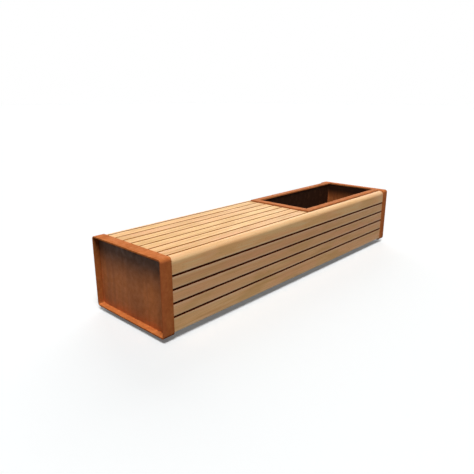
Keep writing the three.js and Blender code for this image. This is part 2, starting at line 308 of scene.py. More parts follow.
weatheringSteel = {
    "deep": (0.52, 0.144, 0.038),
    "middle": (0.60, 0.179, 0.048),
    "bright": (0.67, 0.219, 0.063),
    "streak": (0.50, 0.120, 0.048),
    "pit": (0.21, 0.063, 0.023),
    "fleck": (0.79, 0.33, 0.125),
    "streakShare": 0.40,
    "streakStretch": (14.0, 14.0, 0.5),
    "runStrength": 0.05,
    "runStretch": (7.0, 7.0, 0.7),
    "broadScale": 5.0,
    "mottleScale": 36.0,
    "grainScale": 340.0,
    "pitShare": 0.45,
    "fleckShare": 0.3,
    # upper faces are darkened by this factor: painted shade
    "upperFacesPaintedShade": 0.99,
    "roughness": (0.88, 0.66),
    "specular": 0.03,
    "bumpStrength": 0.7,
    "bumpHeight": 0.0004,
}
rimSteel = {
    **weatheringSteel,
    "deep": (0.51, 0.156, 0.048),
    "middle": (0.58, 0.192, 0.063),
    "bright": (0.64, 0.235, 0.082),
    # the rim's upper faces are darkened more: painted shade
    "upperFacesPaintedShade": 0.93,
    "specular": 0.06,
}
panelSteelPaintedShade = {
    **weatheringSteel,
    "deep": (0.48, 0.146, 0.035),
    "middle": (0.53, 0.164, 0.039),
    "bright": (0.58, 0.179, 0.044),
    "streak": (0.39, 0.120, 0.033),
    "streakShare": 0.75,
    "runStrength": 0.17,
    "specular": 0.50,
    # painted shade: the top of the panel, under the hoop's top, darkens and greys towards this colour
    "shade": (0.03, 0.012, 0.004),
    "shadeShare": 0.92,
    "shadeFrom": 0.43,
    "shadeTo": 0.20,
}
# a darker copy of the hoop's steel for the flanks inside the recess, darker still near the top: painted shade
flankSteelPaintedShade = {
    **weatheringSteel,
    "deep": (0.40, 0.116, 0.030),
    "middle": (0.46, 0.143, 0.038),
    "bright": (0.51, 0.173, 0.049),
    "streak": (0.38, 0.095, 0.037),
    "shade": (0.03, 0.012, 0.004),
    "shadeShare": 0.25,
    "shadeFrom": 0.44,
    "shadeTo": 0.30,
}


def rustColour(add, coords, normal, look):
    broad = noiseOf(add, coords, look["broadScale"], 3.0)
    mottle = noiseOf(add, coords, look["mottleScale"], 6.0, 0.62)
    grain = noiseOf(add, coords, look["grainScale"], 4.0, 0.65)
    colour = colourRamp(add, mottle, [(0.32, look["deep"]), (0.5, look["middle"]), (0.68, look["bright"])])
    colour = scaledColour(add, colour, remap(add, broad, 0.3, 0.7, 0.93, 1.06))
    # wide bands that rain has washed down, paler and darker in turn
    runs = noiseOf(add, stretched(add, coords, look["runStretch"]), 1.0, 2.0)
    strength = look["runStrength"]
    colour = scaledColour(add, colour, remap(add, runs, 0.35, 0.65, 1.0 - strength, 1.0 + strength))
    # run-off streaks on upright faces, and painted shade that darkens the upper faces
    facing = add("ShaderNodeSeparateXYZ", {0: normal}).outputs[2]
    upright = remap(add, mathNode(add, "ABSOLUTE", facing), 0.35, 0.75, 1.0, 0.0)
    streak = noiseOf(add, stretched(add, coords, look["streakStretch"]), 1.0, 4.0, 0.55)
    streak = mathNode(add, "MULTIPLY", remap(add, streak, 0.42, 0.66), upright)
    colour = blendColour(add, mathNode(add, "MULTIPLY", streak, look["streakShare"]), colour,
                         opaque(look["streak"]))
    colour = scaledColour(add, colour, remap(add, facing, 0.3, 0.9, 1.0, look["upperFacesPaintedShade"]))
    pits = remap(add, grain, 0.42, 0.28, 0.0, look["pitShare"])
    colour = blendColour(add, pits, colour, opaque(look["pit"]))
    flecks = remap(add, grain, 0.62, 0.78, 0.0, look["fleckShare"])
    colour = blendColour(add, flecks, colour, opaque(look["fleck"]))
    return colour, mottle, grain


def makeWeatheringSteel(name, look):
    material = newMaterial(name)
    add = graphOf(material)
    place = add("ShaderNodeTexCoord")
    colour, mottle, grain = rustColour(add, place.outputs["Object"], place.outputs["Normal"], look)
    if "shade" in look:
        # painted shade: the steel under the hoop's top is made darker and greyer
        height = add("ShaderNodeSeparateXYZ", {0: place.outputs["Object"]}).outputs[2]
        paintedShade = remap(add, height, look["shadeTo"], look["shadeFrom"], 0.0, look["shadeShare"])
        colour = blendColour(add, paintedShade, colour, opaque(look["shade"]))
    height = mathNode(add, "ADD", grain, mathNode(add, "MULTIPLY", mottle, 0.8))
    normal = bumpOf(add, height, look["bumpStrength"], look["bumpHeight"])
    roughness = remap(add, mottle, 0.3, 0.7, *look["roughness"])
    finishShader(add, colour, roughness, normal, specular=look["specular"])
    return material


# Hardwood: the long grain, and the sawn ends

hardwood = {
    "pale": (1.0, 0.66, 0.31),
    "honey": (0.96, 0.59, 0.25),
    "brown": (0.74, 0.42, 0.16),
    "pink": (0.95, 0.475, 0.245),
    "pore": (0.36, 0.17, 0.07),
    # painted shade inside the gaps between the slats and between the side boards
    "topGapShade": (0.50, 0.14, 0.01),
    "sideGap": (0.17, 0.026, 0.004),
    "endGrain": (0.50, 0.26, 0.11),
    "worn": (1.0, 0.85, 0.60),
    "wornShare": 0.32,
    "driftStretch": (0.9, 3.0, 3.0),
    "drift": (0.05, 0.035),
    "bandStretch": (1.2, 60.0, 60.0),
    "fineStretch": (5.0, 330.0, 330.0),
    "fineShare": 0.5,
    "patchStretch": (3.0, 14.0, 14.0),
    "patchShare": 0.6,
    "blushStretch": (2.0, 7.0, 7.0),
    "pinkPerHue": 0.8,
    "poreStretch": (34.0, 1500.0, 1500.0),
    "poreShare": 0.55,
    "roughness": (0.66, 0.48),
    "specular": 0.10,
    "bumpStrength": 0.5,
    "bumpHeight": 0.0004,
    "ringScale": 55.0,
    "speckScale": 900.0,
    "endRoughness": (0.85, 0.7),
    "endSpecular": 0.25,
    "endBumpStrength": 0.4,
}


def makeHardwood(name, look):
    # the grain runs along X; each board carries its own tone, hue and shift of the pattern
    material = newMaterial(name)
    add = graphOf(material)
    place = add("ShaderNodeTexCoord").outputs["Object"]
    shift = add("ShaderNodeAttribute", attribute_name="boardShift").outputs["Vector"]
    tone = add("ShaderNodeAttribute", attribute_name="boardTone").outputs["Fac"]
    hue = add("ShaderNodeAttribute", attribute_name="boardHue").outputs["Fac"]
    coords = add("ShaderNodeVectorMath", {0: place, 1: shift}, operation="ADD").outputs[0]
    # the grain wanders a little along the board
    drift = noiseOf(add, stretched(add, coords, look["driftStretch"]), 1.0, 2.0)
    drifted = add("ShaderNodeCombineXYZ", {1: mathNode(add, "MULTIPLY", drift, look["drift"][0]),
                                           2: mathNode(add, "MULTIPLY", drift, look["drift"][1])}).outputs[0]
    coords = add("ShaderNodeVectorMath", {0: coords, 1: drifted}, operation="ADD").outputs[0]
    bands = noiseOf(add, stretched(add, coords, look["bandStretch"]), 1.0, 3.0, 0.55)
    fine = noiseOf(add, stretched(add, coords, look["fineStretch"]), 1.0, 4.0, 0.6)
    patches = noiseOf(add, stretched(add, coords, look["patchStretch"]), 1.0, 3.0)
    blush = noiseOf(add, stretched(add, coords, look["blushStretch"]), 1.0, 2.0)
    colour = colourRamp(add, bands, [(0.36, look["brown"]), (0.47, look["honey"]), (0.58, look["pale"])])
    pinkShare = mathNode(add, "MULTIPLY", hue, look["pinkPerHue"])
    pinkShare = mathNode(add, "ADD", pinkShare, remap(add, blush, 0.42, 0.62, -0.12, 0.25))
    colour = blendColour(add, pinkShare, colour, opaque(look["pink"]))
    brown = opaque(look["brown"])
    colour = blendColour(add, remap(add, patches, 0.45, 0.65, 0.0, look["patchShare"]), colour, brown)
    colour = blendColour(add, remap(add, fine, 0.58, 0.34, 0.0, look["fineShare"]), colour, brown)
    colour = scaledColour(add, colour, tone)
    # the long edges are worn and bleached, unevenly, and the corner board's bend carries a painted highlight
    # in the same pale colour
    edge = add("ShaderNodeAttribute", attribute_name="wornEdgeAndBendHighlight").outputs["Fac"]
    edge = mathNode(add, "MULTIPLY", edge, remap(add, patches, 0.3, 0.7, 1.0, 0.6))
    edge = mathNode(add, "MULTIPLY", edge, look["wornShare"])
    colour = blendColour(add, edge, colour, opaque(look["worn"]))
    # open pores: short dark dashes along the grain
    pores = noiseOf(add, stretched(add, coords, look["poreStretch"]), 1.0, 2.0)
    pores = remap(add, pores, 0.36, 0.27)
    colour = blendColour(add, mathNode(add, "MULTIPLY", pores, look["poreShare"]), colour,
                         opaque(look["pore"]))
    # painted shade darkens the faces inside the gaps, less so between the slats
    inGap = add("ShaderNodeAttribute", attribute_name="inGap").outputs["Fac"]
    upper = add("ShaderNodeAttribute", attribute_name="upperBoard").outputs["Fac"]
    gap = blendColour(add, upper, opaque(look["sideGap"]), opaque(look["topGapShade"]))
    colour = blendColour(add, inGap, colour, gap)
    height = mathNode(add, "SUBTRACT", fine, mathNode(add, "MULTIPLY", pores, 0.7))
    normal = bumpOf(add, height, look["bumpStrength"], look["bumpHeight"])
    # the faces inside the gaps, under the painted shade, are rough
    roughness = mathNode(add, "MAXIMUM", remap(add, fine, 0.3, 0.7, *look["roughness"]), inGap)
    finishShader(add, colour, roughness, normal, specular=look["specular"])
    return material


def makeEndGrain(name, look):
    # sawn ends: darker, with the growth rings cut across
    material = newMaterial(name)
    add = graphOf(material)
    place = add("ShaderNodeTexCoord").outputs["Object"]
    shift = add("ShaderNodeAttribute", attribute_name="boardShift").outputs["Vector"]
    coords = add("ShaderNodeVectorMath", {0: place, 1: shift}, operation="ADD").outputs[0]
    rings = add("ShaderNodeTexWave", {"Vector": coords, "Scale": look["ringScale"], "Distortion": 5.0,
                                      "Detail": 2.0, "Detail Scale": 1.5},
                wave_type="RINGS", rings_direction="X")
    specks = noiseOf(add, coords, look["speckScale"], 2.0)
    colour = blendColour(add, remap(add, rings.outputs["Fac"], 0.2, 0.8, 0.1, 0.75), opaque(look["endGrain"]),
                         opaque(look["brown"]))
    colour = blendColour(add, remap(add, specks, 0.4, 0.3, 0.0, 0.6), colour, opaque(look["pore"]))
    normal = bumpOf(add, specks, look["endBumpStrength"], look["bumpHeight"])
    roughness = remap(add, specks, 0.3, 0.7, *look["endRoughness"])
    finishShader(add, colour, roughness, normal, specular=look["endSpecular"])
    return material


# Galvanised steel, dark paint, rubber and weld metal

galvanised = {
    "light": (0.60, 0.62, 0.63),
    "dark": (0.42, 0.44, 0.46),
    "spangleScale": 95.0,
    "cloudScale": 14.0,
    "roughness": (0.34, 0.5),
    "metallic": 0.85,
    "bumpHeight": 0.001,
}


def makeGalvanised(name, look):
    material = newMaterial(name)
    add = graphOf(material)
    coords = add("ShaderNodeTexCoord").outputs["Object"]
    cells = add("ShaderNodeTexVoronoi", {"Vector": coords, "Scale": look["spangleScale"]}, feature="F1")
    tone = add("ShaderNodeSeparateColor", {0: cells.outputs["Color"]}).outputs[0]
    cloud = noiseOf(add, coords, look["cloudScale"], 4.0)
    colour = blendColour(add, remap(add, tone, 0.0, 1.0, 0.0, 0.8), opaque(look["light"]),
                         opaque(look["dark"]))
    colour = blendColour(add, remap(add, cloud, 0.5, 0.75, 0.0, 0.4), colour, opaque(look["dark"]))
    roughness = remap(add, tone, 0.0, 1.0, *look["roughness"])
    finishShader(add, colour, roughness, bumpOf(add, cloud, 0.2, look["bumpHeight"]),
                 metallic=look["metallic"])
    return material


darkCoat = {
    "coat": (0.036, 0.013, 0.006),
    "worn": (0.080, 0.032, 0.014),
    "soil": (0.060, 0.036, 0.022),
    "soilTop": 0.20,
    "soilFull": 0.11,
    "rustFromX": 1.12,
    # the far wall's rust starts below a painted shade under the rim
    "rimShadeFull": 0.42,
    "rimShadeEnd": 0.30,
    "brushStretch": (60.0, 60.0, 3.0),
    "blotchScale": 22.0,
    "roughness": (0.75, 0.5),
    "specular": 0.10,
    "bumpHeight": 0.0006,
}


def makeDarkCoat(name, look, rust):
    # bitumen paint inside the planter: soil dust low down, and rust on the far wall, whose top keeps the dark
    # coat as painted shade under the rim
    material = newMaterial(name)
    add = graphOf(material)
    place = add("ShaderNodeTexCoord")
    coords = place.outputs["Object"]
    brushed = noiseOf(add, stretched(add, coords, look["brushStretch"]), 1.0, 4.0, 0.6)
    blotch = noiseOf(add, coords, look["blotchScale"], 5.0, 0.6)
    colour = blendColour(add, remap(add, blotch, 0.5, 0.75, 0.0, 0.6), opaque(look["coat"]),
                         opaque(look["worn"]))
    axes = add("ShaderNodeSeparateXYZ", {0: coords}).outputs
    dusty = mathNode(add, "ADD", axes[2], mathNode(add, "MULTIPLY", blotch, 0.09))
    soiled = remap(add, dusty, look["soilTop"], look["soilFull"], 0.0, 0.7)
    colour = blendColour(add, soiled, colour, opaque(look["soil"]))
    rusty, _, grain = rustColour(add, coords, place.outputs["Normal"], rust)
    facingX = add("ShaderNodeSeparateXYZ", {0: place.outputs["Normal"]}).outputs[0]
    farWall = mathNode(add, "MULTIPLY", remap(add, facingX, -0.3, -0.8),
                       mathNode(add, "GREATER_THAN", axes[0], look["rustFromX"]))
    # painted shade: the top of the far wall stays dark under the rim
    belowRimShade = remap(add, axes[2], look["rimShadeFull"], look["rimShadeEnd"])
    patch = mathNode(add, "MULTIPLY", mathNode(add, "MULTIPLY", farWall, belowRimShade),
                     remap(add, brushed, 0.3, 0.55, 0.75, 1.1))
    colour = blendColour(add, patch, colour, rusty)
    bump = mathNode(add, "ADD", brushed, mathNode(add, "MULTIPLY", grain, 0.4))
    roughness = remap(add, blotch, 0.3, 0.7, *look["roughness"])
    finishShader(add, colour, roughness, bumpOf(add, bump, 0.5, look["bumpHeight"]),
                 specular=look["specular"])
    return material


blackRubber = {
    "colour": (0.022, 0.022, 0.023),
    "dust": (0.10, 0.095, 0.09),
    "grainScale": 700.0,
    "dustScale": 60.0,
    "roughness": (0.75, 0.92),
    "specular": 0.3,
    "bumpHeight": 0.0003,
}


def makeRubber(name, look):
    material = newMaterial(name)
    add = graphOf(material)
    coords = add("ShaderNodeTexCoord").outputs["Object"]
    grain = noiseOf(add, coords, look["grainScale"], 3.0)
    dust = noiseOf(add, coords, look["dustScale"], 4.0)
    colour = blendColour(add, remap(add, dust, 0.5, 0.8, 0.0, 0.5), opaque(look["colour"]),
                         opaque(look["dust"]))
    roughness = remap(add, dust, 0.3, 0.7, *look["roughness"])
    finishShader(add, colour, roughness, bumpOf(add, grain, 0.3, look["bumpHeight"]),
                 specular=look["specular"])
    return material


weldMetal = {
    "dark": (0.20, 0.15, 0.12),
    "middle": (0.34, 0.31, 0.29),
    "bright": (0.46, 0.45, 0.44),
    "mottleScale": 160.0,
    "roughness": (0.65, 0.4),
    "metallic": 0.7,
    "bumpHeight": 0.0004,
}


def makeWeldMetal(name, look):
    # oxidised weld metal, darkened by its heat
    material = newMaterial(name)
    add = graphOf(material)
    coords = add("ShaderNodeTexCoord").outputs["Object"]
    mottle = noiseOf(add, coords, look["mottleScale"], 3.0)
    colour = colourRamp(add, mottle, [(0.3, look["dark"]), (0.5, look["middle"]), (0.7, look["bright"])])
    roughness = remap(add, mottle, 0.3, 0.7, *look["roughness"])
    finishShader(add, colour, roughness, bumpOf(add, mottle, 0.4, look["bumpHeight"]),
                 metallic=look["metallic"])
    return material


steelMaterial = makeWeatheringSteel("weatheringSteel", weatheringSteel)
panelMaterial = makeWeatheringSteel("panelSteelPaintedShade", panelSteelPaintedShade)
flankPaintedShadeMaterial = makeWeatheringSteel("flankSteelPaintedShade", flankSteelPaintedShade)
rimMaterial = makeWeatheringSteel("rimSteel", rimSteel)
woodMaterial = makeHardwood("oiledHardwood", hardwood)
endGrainMaterial = makeEndGrain("sawnEndGrain", hardwood)
zincMaterial = makeGalvanised("galvanisedSteel", galvanised)
coatMaterial = makeDarkCoat("darkCoatedSteel", darkCoat, weatheringSteel)
rubberMaterial = makeRubber("blackRubber", blackRubber)
weldMaterial = makeWeldMetal("weldMetal", weldMetal)
print("materials ready:", len(bpy.data.materials))


# End caps: a hoop bent from plate, and a plate set back inside it

endCap = {
    "cornerRadius": 0.020,
    "cornerSteps": 16,
    "plate": 0.010,
    "hoopEdge": 0.0010,
    "hoopEdgeSteps": 3,
    "panelEdge": 0.0005,
    "panelEdgeSteps": 2,
}


def makeHoop(name, node):
    low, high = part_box(node)
    outline = roundedOutline((low.y, low.z), (high.y, high.z), [endCap["cornerRadius"]] * 4,
                             endCap["cornerSteps"])
    section = roundedOutline((low.x, -endCap["plate"]), (high.x, 0.0), [endCap["hoopEdge"]] * 4,
                             endCap["hoopEdgeSteps"])
    points = []
    for (y, z), (ny, nz) in outline:
        for (x, reach), _ in section:
            points.append((x, y + ny * reach, z + nz * reach))
    mesh = outwardMesh(name, points, ringFaces(len(outline), len(section), closedAlong=True))
    # the upright flanks inside the recess take the darker copy of the steel: painted shade
    for polygon in mesh.polygons:
        if polygon.center.y * polygon.normal.y < 0 and abs(polygon.normal.y) > 0.7:
            polygon.material_index = 1
    addPiece(name, mesh, [steelMaterial, flankPaintedShadeMaterial], "bench", [node])


def makePanel(name, node):
    # its corners keep the same middle as those of the hoop round it
    low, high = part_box(node)
    radius = endCap["cornerRadius"] - (low.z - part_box(node.replace("panel", "hoop"))[0].z)
    outline = roundedOutline((low.y, low.z), (high.y, high.z), [radius] * 4, endCap["cornerSteps"])
    rings = roundedEnds(low.x, high.x, endCap["panelEdge"], endCap["panelEdgeSteps"])
    addPiece(name, barMesh(name, outline, rings), panelMaterial, "bench", [node])


for end in ("near", "far"):
    makeHoop(end + "Hoop", end + "_end_hoop")
    makePanel(end + "Panel", end + "_end_panel")
print("end caps made")


# Boards: hardwood, with rounded long edges and eased ends

boards = {
    "edgeRadius": 0.0012,
    "cornerRadius": 0.030,
    "edgeSteps": 5,
    "cornerSteps": 18,
    "endRounding": 0.0012,
    "shiftReach": 4,
    # painted shade inside the gaps: its strip, its share on the arrises and its reach
    "dampStrip": 0.004,
    "arrisShade": 0.6,
    "gapReach": 1.5,
    "wornStrip": 0.016,
    "slatWear": 0.25,
    # the corner board's bend is made paler the more it looks up: painted highlight
    "bendHighlight": 0.7,
    "seed": 11,
    "slatTones": (0.92, 1.0, 0.99, 1.0, 0.98, 0.94, 1.0),
    "slatHues": (0.6, 0.1, 0.1, 0.1, 0.3, 0.5, 0.1),
    "sideTones": {"low_board": 1.04, "side_board_1": 1.0, "side_board_2": 0.98, "side_board_3": 0.95,
                  "corner_board": 1.16},
    # the side boards take pinker hues than most top slats: a painted difference between the shaded sides and
    # the lit tops
    "sideHues": {"low_board": 0.6, "side_board_1": 0.75, "side_board_2": 1.0, "side_board_3": 0.9,
                 "corner_board": 0.8},
}
boardDice = random.Random(boards["seed"])


def markedOutline(outline, radii, steps, wear, damp, gapWays):
    # adds the borders of the painted gap shade and of the worn strips: (point with its normal, wear and bend
    # highlight, painted shade) for each
    rings = [outline[corner * (steps + 1):(corner + 1) * (steps + 1)] for corner in range(4)]
    # the wide bend is paler the more it looks up: a painted highlight
    wearsAndBendHighlight = [[boards["bendHighlight"] * nz if radius == boards["cornerRadius"] else wear for _, (_, nz) in ring]
             for ring, radius in zip(rings, radii)]
    isInGap = 0.99  # how squarely a face looks into a gap that counts as inside it
    marks = []
    for corner, ring in enumerate(rings):
        facings = [max(0.0, *(ny * wayY + nz * wayZ for wayY, wayZ in gapWays)) for _, (ny, nz) in ring]
        # painted shade: only the arrises that look down into a gap keep it
        looksDown = min(nz for _, (_, nz) in ring) < -0.5
        arrisShade = damp if max(facings) > isInGap and looksDown else 0.0
        marks += [(point, pointWearAndHighlight, min(1.0, arrisShade + boards["gapReach"] * facing))
                  for point, pointWearAndHighlight, facing in zip(ring, wearsAndBendHighlight[corner], facings)]
        following = (corner + 1) % 4
        (u0, v0), normal = ring[-1]
        (u1, v1), _ = rings[following][0]
        span = math.hypot(u1 - u0, v1 - v0)
        # on a narrow face the strips give way, so that they never cross
        shadeStripShare = min(boards["dampStrip"] / span, 0.2)
        wornShare = min(boards["wornStrip"] / span, 0.45)
        faceShade = 1.0 if facings[-1] > isInGap else 0.0
        for share, stripWearAndHighlight in ((shadeStripShare, wearsAndBendHighlight[corner][-1]), (wornShare, 0.0), (1 - wornShare, 0.0),
                                 (1 - shadeStripShare, wearsAndBendHighlight[following][0])):
            place = (u0 + (u1 - u0) * share, v0 + (v1 - v0) * share)
            marks.append(((place, normal), stripWearAndHighlight, faceShade))
    return marks


def makeBoard(name, node, radii, steps, tone, hue, gapWays, upper=0.0):
    # gapWays: the ways, as (y, z), that the faces inside a gap look
    low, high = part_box(node)
    outline = roundedOutline((low.y, low.z), (high.y, high.z), radii, steps)
    wear, damp = (boards["slatWear"], 0.0) if upper else (1.0, boards["arrisShade"])
    marks = markedOutline(outline, radii, steps, wear, damp, gapWays)
    outline = [point for point, _, _ in marks]
    mesh = barMesh(name, outline, roundedEnds(low.x, high.x, boards["endRounding"]))
    addPiece(name, mesh, [woodMaterial, endGrainMaterial], "bench", [node])
    for polygon in mesh.polygons:
        if abs(polygon.normal.x) > 0.5:
            polygon.material_index = 1
    count = len(mesh.vertices)
    shift = [boardDice.uniform(-boards["shiftReach"], boards["shiftReach"]) for _ in range(3)]
    markPoints(mesh, "boardShift", shift * count, "FLOAT_VECTOR")
    for label, value in (("boardTone", tone), ("boardHue", hue), ("upperBoard", upper)):
        markPoints(mesh, label, [value] * count)
    ringCount = count // len(marks)
    markPoints(mesh, "inGap", [damp for _, _, damp in marks] * ringCount)
    markPoints(mesh, "wornEdgeAndBendHighlight", [wear for _, wear, _ in marks] * ringCount)


def boardRadii(side, isCorner):
    radii = [boards["edgeRadius"]] * 4
    if isCorner:
        radii[3 if side == "front" else 2] = boards["cornerRadius"]
    return radii


for k, (tone, hue) in enumerate(zip(boards["slatTones"], boards["slatHues"])):
    makeBoard(f"topSlat{k + 1}", f"top_slat_{k + 1}", boardRadii("front", False), boards["edgeSteps"], tone,
              hue, [(-1, 0), (1, 0)], 1.0)
for side, sign in (("front", -1), ("back", 1)):
    for row, tone in boards["sideTones"].items():
        isCorner = row == "corner_board"
        label = side + "".join(word.capitalize() for word in row.split("_"))
        gapWays = [(0, 1)] if row == "low_board" else [(0, -1), (0, 1)]
        if isCorner:
            gapWays = [(-sign, 0), (0, -1)]
        steps = boards["cornerSteps"] if isCorner else boards["edgeSteps"]
        makeBoard(label, f"{side}_{row}", boardRadii(side, isCorner), steps, tone, boards["sideHues"][row],
                  gapWays)
print("boards made: 17")


# Planter rim: a folded flange on three sides, mitred, and an upright strip on the far side

planterRim = {
    "band": 0.050,
    "plate": 0.004,
    "outerLip": 0.020,
    "innerLip": 0.012,
    "bend": 0.0045,
    "bendSteps": 6,
    "edge": 0.0008,
    "edgeSteps": 3,
    "mitreSoftness": 0.0015,
    "strip": 0.005,
    "stripOverlap": 0.002,
}


def rimProfile(look):
    # (inward, down) points round the folded section, from the outer lip's lower edge
    bend, plate, band = look["bend"], look["plate"], look["band"]
    points = [(look["edge"], -look["outerLip"]), (0.0, -look["outerLip"] + look["edge"])]
    for step in range(look["bendSteps"] + 1):
        angle = math.radians(180 - 90 * step / look["bendSteps"])
        points.append((bend + bend * math.cos(angle), -bend + bend * math.sin(angle)))
    for step in range(look["bendSteps"] + 1):
        angle = math.radians(90 - 90 * step / look["bendSteps"])
        points.append((band - bend + bend * math.cos(angle), -bend + bend * math.sin(angle)))
    points += [(band, -look["innerLip"] + look["edge"]), (band - look["edge"], -look["innerLip"])]
    points += [(band - plate, -look["innerLip"]), (band - plate, -plate), (plate, -plate)]
    points.append((plate, -look["outerLip"]))
    return points


def makeRim(look):
    low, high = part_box("planter_rim")
    profile = rimProfile(look)
    stations = [
        (high.x, low.y, (0, 1)),
        (low.x, low.y, (1, 1)),
        (low.x, high.y, (1, -1)),
        (high.x, high.y, (0, -1)),
    ]
    points = []
    for x, y, (inX, inY) in stations:
        for inward, down in profile:
            points.append((x + inX * inward, y + inY * inward, high.z + down))
    faces = cappedFaces(len(stations), len(profile))
    mesh = outwardMesh("planterRim", points, faces, sharpAngle=30)
    rim = addPiece("planterRim", mesh, rimMaterial, "planter", ["planter_rim"])
    softenEdges(rim, look["mitreSoftness"], angle=60)
    strip = roundedOutline((high.x - look["strip"], high.z - look["innerLip"]), (high.x, high.z),
                           [look["edge"]] * 4, look["edgeSteps"])
    reach = high.y - look["band"] + look["stripOverlap"]
    outline = [((z, x), (nz, nx)) for (x, z), (nx, nz) in strip]
    farStrip = barMesh("rimFarStrip", outline, [(-reach, 0.0), (reach, 0.0)], "y")
    addPiece("rimFarStrip", farStrip, rimMaterial, "planter")


makeRim(planterRim)
print("planter rim made")


# Planter trough: folded sheet with rounded upright corners, a flange under the rim and drain spouts

planterTrough = {
    "wall": 0.003,
    "flange": 0.020,
    "cornerRadius": 0.008,
    "cornerSteps": 6,
    "farDrop": 0.008,
    "farReach": 0.004,
    "spoutRadius": 0.010,
    "spoutBore": 0.008,
    "spoutLength": 0.025,
    "spoutSides": 24,
    "collarFoot": 0.004,
    "collarTop": 0.003,
    "collarHeight": 0.0012,
    "boreChamfer": 0.001,
}


def makeTrough(look):
    low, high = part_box("planter_trough")
    wall = look["wall"]
    bottom = low.z + look["spoutLength"]
    reach = look["flange"]
    outer = ((low.x + reach, low.y + reach), (high.x, high.y - reach))
    inner = ((outer[0][0] + wall, outer[0][1] + wall), (outer[1][0] - wall, outer[1][1] - wall))
    outerRadius = look["cornerRadius"] + wall
    outside = roundedOutline(*outer, [outerRadius] * 4, look["cornerSteps"])
    inside = roundedOutline(*inner, [look["cornerRadius"]] * 4, look["cornerSteps"])
    lip = roundedOutline((low.x, low.y), (high.x, high.y), [outerRadius] * 4, look["cornerSteps"])
    top = high.z
    rings = [(outside, bottom), (outside, top - wall), (lip, top - wall), (lip, top), (inside, top),
             (inside, bottom + wall)]
    points = []
    for outline, z in rings:
        for (x, y), _ in outline:
            # the top of the far wall stops below the rim's strip
            isFarTop = x > outer[1][0] - look["farReach"] and z > (bottom + top) / 2
            points.append((min(x, high.x), y, z - (look["farDrop"] if isFarTop else 0.0)))
    mesh = outwardMesh("planterTrough", points, cappedFaces(len(rings), len(outside)), sharpAngle=30)
    addPiece("planterTrough", mesh, coatMaterial, "planter", ["planter_trough"])


def makeSpout(name, x, y, bottom, look):
    # a short pipe under the floor, with a flared collar that shows as a ring inside the trough
    radius, bore = look["spoutRadius"], look["spoutBore"]
    floorTop = bottom + look["wall"]
    collarTop = floorTop + look["collarHeight"]
    profile = [(bore, bottom - look["spoutLength"]), (radius, bottom - look["spoutLength"]),
               (radius, bottom), (radius + look["collarFoot"], floorTop),
               (radius + look["collarTop"], collarTop), (bore + look["boreChamfer"], collarTop),
               (bore, floorTop)]
    points = []
    for r, z in profile:
        points += [(x + u, y + v, z) for (u, v), _ in circleOutline(r, look["spoutSides"])]
    mesh = outwardMesh(name, points, ringFaces(len(profile), look["spoutSides"], closedAlong=True))
    addPiece(name, mesh, coatMaterial, "planter")


makeTrough(planterTrough)
print("planter trough made")


# Hidden steel frame

steelFrame = {
    "tubeRadius": 0.005,
    "tubeSteps": 5,
    "tubeWall": 0.003,
    "anglePlate": 0.005,
    "angleEdge": 0.0007,
    "rubberEdge": 0.0006,
    "postsPerSide": 5,
    "crossBars": 5,
    "topBars": 3,
    "rubberStrips": 3,
}


def makeTube(name, node, axis):
    low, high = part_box(node)
    spans = {"x": (low.x, high.x, (low.y, low.z), (high.y, high.z)),
             "y": (low.y, high.y, (low.z, low.x), (high.z, high.x))}
    start, end, corner, opposite = spans[axis]
    radius, wall, steps = steelFrame["tubeRadius"], steelFrame["tubeWall"], steelFrame["tubeSteps"]
    outer = roundedOutline(corner, opposite, [radius] * 4, steps)
    inner = roundedOutline((corner[0] + wall, corner[1] + wall), (opposite[0] - wall, opposite[1] - wall),
                           [radius - wall] * 4, steps)
    mesh = tubeMesh(name, outer, inner, start, end, axis)
    addPiece(name, mesh, zincMaterial, "bench", [node])


for side in ("front", "back"):
    makeTube(side + "Rail", side + "_rail", "x")
    for k in range(steelFrame["postsPerSide"]):
        dress(f"{side}_post_{k + 1}", zincMaterial, steelFrame["angleEdge"])
for k in range(steelFrame["crossBars"]):
    makeTube(f"crossBar{k + 1}", f"cross_bar_{k + 1}", "y")
for k in range(steelFrame["topBars"]):
    dress(f"top_bar_{k + 1}", zincMaterial, steelFrame["angleEdge"])
for k in range(steelFrame["rubberStrips"]):
    dress(f"rubber_strip_{k + 1}", rubberMaterial, steelFrame["rubberEdge"])
print("frame dressed")


# Levelling feet: a rubber-faced pad, and a threaded stem with its lock nut

feet = {
    "count": 6,
    "padEdge": 0.0015,
    "padFlange": 0.005,
    "padShoulders": ((0.019, 0.0058), (0.0155, 0.008)),
    "hubRadius": 0.015,
    "hubEdge": 0.001,
    "socketRadius": 0.0088,
    "socketFloor": 0.006,
    "padSides": 40,
    "threadRadius": 0.008,
    "threadDepth": 0.0010,
    "threadProfile": ((0.0, 0.0), (0.3, 1.0), (0.5, 1.0), (0.8, 0.0)),
    "pitch": 0.002,
    "stemSides": 20,
    "nutAcross": 0.0242,
    "nutHeight": 0.010,
    "nutChamfer": 0.0013,
    "nutGap": 0.0003,
}
hexHead = {"sides": 48, "cone": 1.7}


def makePad(name, node):
    low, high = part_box(node)
    radius, height = (high.x - low.x) / 2, high.z - low.z
    edge, flange, hub, socket = feet["padEdge"], feet["padFlange"], feet["hubRadius"], feet["socketRadius"]
    profile = [(0, 0), (radius - edge, 0), (radius, edge), (radius, flange - edge), (radius - edge, flange),
               *feet["padShoulders"], (hub, height - feet["hubEdge"]), (hub - feet["hubEdge"], height),
               (socket, height), (socket, feet["socketFloor"]), (0, feet["socketFloor"])]
    centre = ((low.x + high.x) / 2, (low.y + high.y) / 2, low.z)
    mesh = turnedMesh(name, profile, feet["padSides"], centre)
    addPiece(name, mesh, rubberMaterial, "bench", [node])


